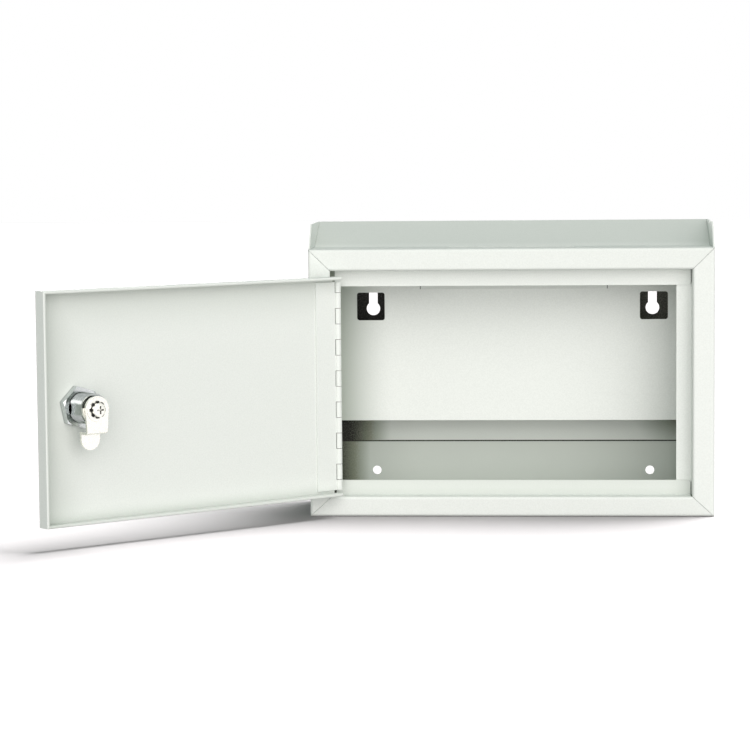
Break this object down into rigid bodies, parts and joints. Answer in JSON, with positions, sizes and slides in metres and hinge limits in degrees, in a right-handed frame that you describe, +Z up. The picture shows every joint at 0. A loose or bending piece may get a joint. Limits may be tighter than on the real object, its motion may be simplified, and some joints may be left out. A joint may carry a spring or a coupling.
{
  "type": "wall donation box",
  "caption": "Sheet-steel wall box with a deposit slot in its top ledge, a hinged locking front door, an inner baffle and keyholes for hanging.",
  "frame": {"origin": "middle of the base, on the surface the box stands on", "axes": "+X to the right seen from the front, +Y to the back, +Z up; the front face with the door lies at -Y"},
  "size_m": [0.3889, 0.2252, 0.1794],
  "materials": {
    "powder_coat": "fine-grained satin powder coat, pale grey-white",
    "steel_pin": "plain drawn steel",
    "lock_chrome": "bright nickel-chrome plate",
    "zinc_plate": "bright zinc plate",
    "tumbler_brass": "stamped brass",
    "black_steel": "blackened spring steel"
  },
  "bodies": {
    "cabinet": {"back_panel": "powder_coat", "left_side_panel": "powder_coat", "right_side_panel": "powder_coat", "top_panel": "powder_coat", "bottom_panel": "powder_coat", "baffle_plate": "powder_coat", "hinge_frame_leaf": "powder_coat", "hinge_pin": "steel_pin"},
    "door": {"door_panel": "powder_coat", "hinge_door_leaf": "powder_coat", "lock_housing": "lock_chrome", "lock_nut": "zinc_plate"},
    "lock_core": {"lock_plug": "lock_chrome", "tumbler_springs": "steel_pin", "lock_stop_plate": "zinc_plate", "lock_cam": "zinc_plate", "star_washer": "black_steel", "cam_bolt": "zinc_plate"},
    "tumblers": {"wafer_tumblers": "tumbler_brass"}
  },
  "joints": [
    {"name": "door_swing", "type": "hinge", "parent": "cabinet", "child": "door", "pos_m": [-0.10588, -0.0365, 0.0804], "axis": [0, 0, 1], "range_deg": [-2, 137.65]},
    {"name": "lock_turn", "type": "hinge", "parent": "door", "child": "lock_core", "pos_m": [-0.23901, -0.16922, 0.0803], "axis": [-0.6737, 0.739, 0], "range_deg": [0, 90]},
    {"name": "tumbler_lift", "type": "slide", "parent": "lock_core", "child": "tumblers", "axis": [0, 0, 1], "range_m": [0, 0.0006], "deforming": ["tumbler_springs"]}
  ]
}
